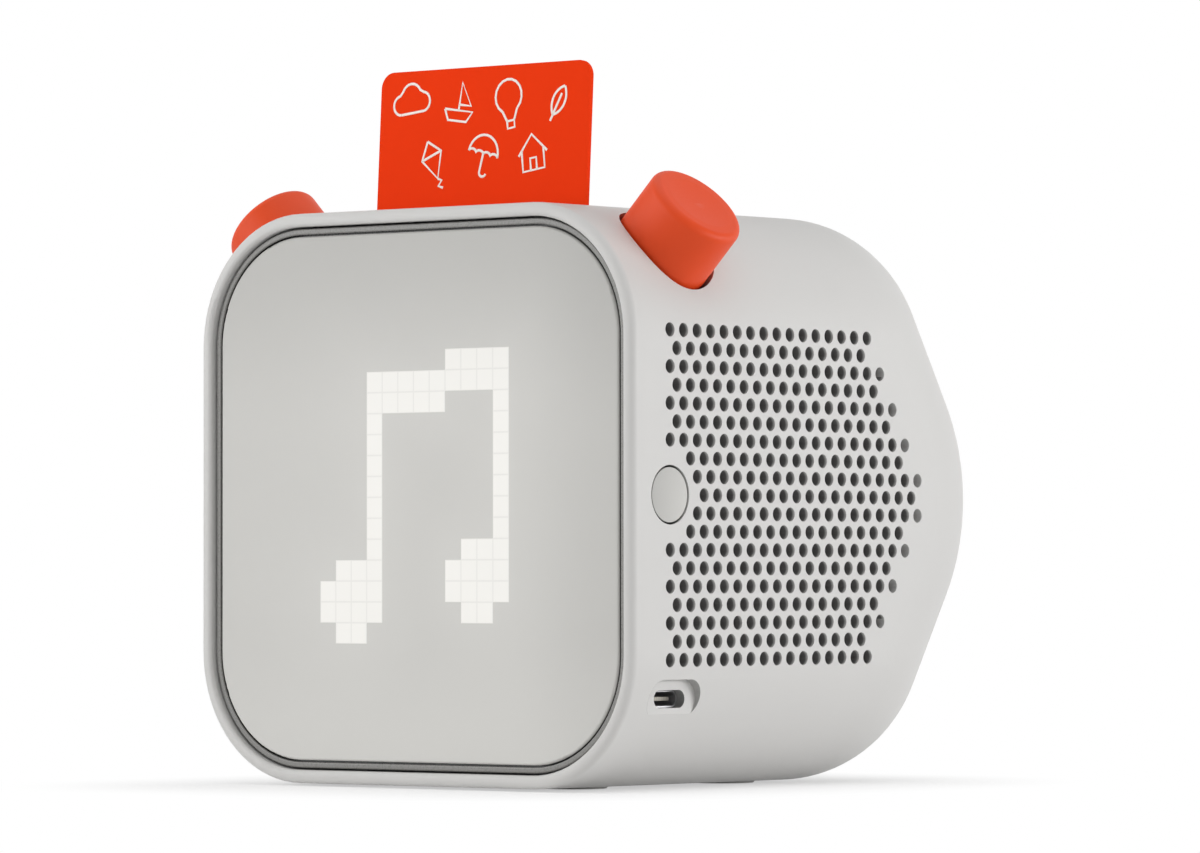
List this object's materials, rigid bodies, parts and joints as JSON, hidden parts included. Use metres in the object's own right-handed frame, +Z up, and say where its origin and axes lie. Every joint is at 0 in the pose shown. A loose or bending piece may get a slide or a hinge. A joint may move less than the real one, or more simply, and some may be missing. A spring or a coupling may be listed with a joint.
{
  "type": "audio story player",
  "caption": "Soft-cornered speaker box with a pixel screen in front, push-and-turn knobs on its top corners, perforated sides and a story card standing in a slot in its top.",
  "frame": {"origin": "on the table, under the middle of the body", "axes": "+Z up, the screen faces -Y, +X to the right of a person who faces the screen"},
  "size_m": [0.1228, 0.1194, 0.1397],
  "materials": {
    "housing_plastic": "fine satin, off-white",
    "trim_plastic": "satin mid grey",
    "lens_plastic": "smooth, milky, lit from behind",
    "foam": "closed-cell foam",
    "diffuser_film": "milky film",
    "grid_plastic": "moulded white",
    "led_plastic": "small moulded packages",
    "circuit_board": "green solder mask",
    "screw_steel": "zinc plated",
    "inner_plastic": "moulded dark grey",
    "felt": "thin black felt",
    "card_plastic": "laminated red-orange card with white line drawings",
    "button_plastic": "satin, off-white",
    "switch_plastic": "moulded black",
    "chip_plastic": "moulded black",
    "shield_steel": "thin tinned sheet",
    "battery_wrap": "blue shrink wrap",
    "bracket_aluminium": "bent sheet",
    "foot_rubber": "soft pale grey",
    "ribbon_film": "amber film",
    "nut_brass": "turned",
    "knob_plastic": "satin red-orange",
    "shaft_aluminium": "turned",
    "mesh_fabric": "fine grey acoustic mesh",
    "speaker_steel": "pressed sheet, black",
    "magnet_ferrite": "sintered ferrite ring",
    "cone_paper": "pressed paper",
    "surround_rubber": "soft half roll"
  },
  "bodies": {
    "housing": {"main_housing": "housing_plastic", "screen_trim_ring": "trim_plastic", "screen_lens": "lens_plastic", "lens_gasket": "foam", "diffuser_sheet": "diffuser_film", "pixel_grid": "grid_plastic", "pixel_leds": "led_plastic", "led_board": "circuit_board", "display_screws": "screw_steel", "front_chassis": "inner_plastic", "chassis_screws": "screw_steel", "card_chute": "inner_plastic", "chute_screws": "screw_steel", "card_felts": "felt", "antenna_board": "circuit_board", "power_switch": "switch_plastic", "button_board": "circuit_board", "button_spring": "screw_steel", "core_frame": "inner_plastic", "main_board": "circuit_board", "board_chips": "chip_plastic", "shield_can": "shield_steel", "board_screws": "screw_steel", "battery_pack": "battery_wrap", "battery_bracket": "bracket_aluminium", "base_screws": "screw_steel", "rubber_feet": "foot_rubber", "display_ribbon": "ribbon_film", "usb_c_shell": "shield_steel", "usb_c_tongue": "chip_plastic", "headphone_jack": "chip_plastic", "encoder_nuts": "nut_brass", "speaker_screws": "screw_steel", "left_encoder_body": "shield_steel", "left_grille_mesh": "mesh_fabric", "left_speaker_frame": "speaker_steel", "left_speaker_magnet": "magnet_ferrite", "left_speaker_yoke": "speaker_steel", "left_speaker_surround": "surround_rubber", "left_speaker_gasket": "foam", "left_port_board": "circuit_board", "right_encoder_body": "shield_steel", "right_grille_mesh": "mesh_fabric", "right_speaker_frame": "speaker_steel", "right_speaker_magnet": "magnet_ferrite", "right_speaker_yoke": "speaker_steel", "right_speaker_surround": "surround_rubber", "right_speaker_gasket": "foam", "right_port_board": "circuit_board"},
    "power_button": {"power_button": "button_plastic", "switch_plunger": "switch_plastic"},
    "story_card": {"story_card": "card_plastic"},
    "left_push": {"left_encoder_push_plate": "switch_plastic"},
    "left_knob": {"left_knob_cap": "knob_plastic", "left_encoder_shaft": "shaft_aluminium"},
    "left_cone": {"left_speaker_cone": "cone_paper"},
    "right_push": {"right_encoder_push_plate": "switch_plastic"},
    "right_knob": {"right_knob_cap": "knob_plastic", "right_encoder_shaft": "shaft_aluminium"},
    "right_cone": {"right_speaker_cone": "cone_paper"}
  },
  "joints": [
    {"name": "power_button_press", "type": "slide", "parent": "housing", "child": "power_button", "axis": [-1, 0, 0], "range_m": [0, 0.0008], "stiffness_N_per_m": 600, "springref_m": -0.0005, "deforming": ["button_spring"]},
    {"name": "story_card_lift", "type": "slide", "parent": "housing", "child": "story_card", "axis": [0, 0.0576, 0.9983], "range_m": [0, 0.062]},
    {"name": "left_knob_press", "type": "slide", "parent": "housing", "child": "left_push", "axis": [0.7071, 0, -0.7071], "range_m": [0, 0.001], "stiffness_N_per_m": 3000, "springref_m": -0.0003},
    {"name": "left_knob_turn", "type": "hinge", "parent": "left_push", "child": "left_knob", "pos_m": [-0.0495, -0.0397, 0.1054], "axis": [-0.7071, 0, 0.7071], "continuous": true},
    {"name": "left_cone_move", "type": "slide", "parent": "housing", "child": "left_cone", "axis": [-1, 0, 0], "range_m": [-0.001, 0.001], "stiffness_N_per_m": 1500, "deforming": ["left_speaker_surround"]},
    {"name": "right_knob_press", "type": "slide", "parent": "housing", "child": "right_push", "axis": [-0.7071, 0, -0.7071], "range_m": [0, 0.001], "stiffness_N_per_m": 3000, "springref_m": -0.0003},
    {"name": "right_knob_turn", "type": "hinge", "parent": "right_push", "child": "right_knob", "pos_m": [0.0495, -0.0397, 0.1054], "axis": [0.7071, 0, 0.7071], "continuous": true},
    {"name": "right_cone_move", "type": "slide", "parent": "housing", "child": "right_cone", "axis": [1, 0, 0], "range_m": [-0.001, 0.001], "stiffness_N_per_m": 1500, "deforming": ["right_speaker_surround"]}
  ]
}
